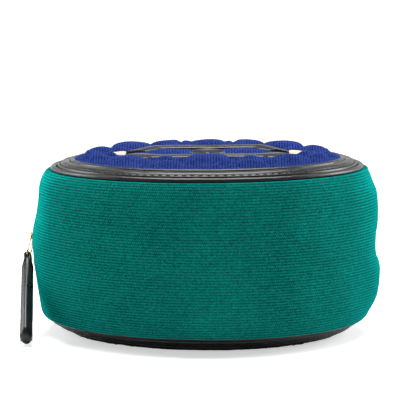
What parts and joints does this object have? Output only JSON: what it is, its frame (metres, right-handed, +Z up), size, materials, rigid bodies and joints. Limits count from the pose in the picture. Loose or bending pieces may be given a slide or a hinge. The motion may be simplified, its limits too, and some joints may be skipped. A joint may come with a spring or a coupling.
{
  "type": "round zip case",
  "caption": "Round fabric zip case with quilted faces, leather piping, a tilting lid and a leather zip pull.",
  "frame": {"origin": "centre of the flat quilted face that the case rests on", "axes": "+Z up through the case, -Y to the front where the side wall is uncut, +Y to the rear where the zip runs"},
  "size_m": [0.1559, 0.1516, 0.0803],
  "materials": {
    "green_jersey": "ribbed knit, matt",
    "blue_jersey": "ribbed knit, matt, quilted",
    "black_leather": "smooth, polished",
    "tan_leather": "smooth, satin",
    "brass": "polished, pale",
    "green_tape": "woven zip tape",
    "lining": "smooth woven lining",
    "board": "plain stiffener board",
    "wadding": "soft fibre fill"
  },
  "bodies": {
    "base": {"base_lining_disc": "lining", "base_board": "board", "base_wadding": "wadding", "base_quilted_panel": "blue_jersey", "base_inner_piping": "black_leather", "base_leather_band": "black_leather", "base_outer_piping": "black_leather", "base_rear_wall": "green_jersey", "base_rear_lining": "lining", "base_zip_tape": "green_tape", "base_zip_teeth": "brass", "base_top_stop": "brass", "zip_bottom_stop": "brass", "zip_end_tab_left": "green_tape", "zip_end_tab_right": "green_tape", "front_gusset": "green_jersey", "front_lining": "lining"},
    "lid": {"lid_lining_disc": "lining", "lid_board": "board", "lid_wadding": "wadding", "lid_quilted_panel": "blue_jersey", "lid_inner_piping": "black_leather", "lid_leather_band": "black_leather", "lid_outer_piping": "black_leather", "lid_rear_wall": "green_jersey", "lid_rear_lining": "lining", "lid_zip_tape": "green_tape", "lid_zip_teeth": "brass", "lid_top_stop": "brass", "motif_strip_front": "black_leather", "motif_strip_rear": "black_leather", "motif_tip_left": "tan_leather", "motif_tip_right": "tan_leather", "motif_stud": "black_leather"},
    "slider": {"slider_body": "brass"},
    "link": {"pull_link": "brass"},
    "pull": {"pull_leather": "black_leather"}
  },
  "joints": [
    {"name": "lid_tilt", "type": "hinge", "parent": "base", "child": "lid", "pos_m": [0, -0.008, 0.0395], "axis": [1, 0, 0], "range_deg": [0, 30], "deforming": ["front_gusset", "front_lining"]},
    {"name": "slider_run", "type": "hinge", "parent": "base", "child": "slider", "pos_m": [0, 0, 0.0395], "axis": [0, 0, 1], "range_deg": [-168, 0]},
    {"name": "link_swing", "type": "hinge", "parent": "slider", "child": "link", "pos_m": [-0.07709, 0.00509, 0.0395], "axis": [-0.9945, 0.1045, 0], "range_deg": [0, 70]},
    {"name": "pull_flap", "type": "hinge", "parent": "link", "child": "pull", "pos_m": [-0.07815, -0.00502, 0.03257], "axis": [0.0589, 0.5606, -0.826], "range_deg": [0, 100]}
  ]
}
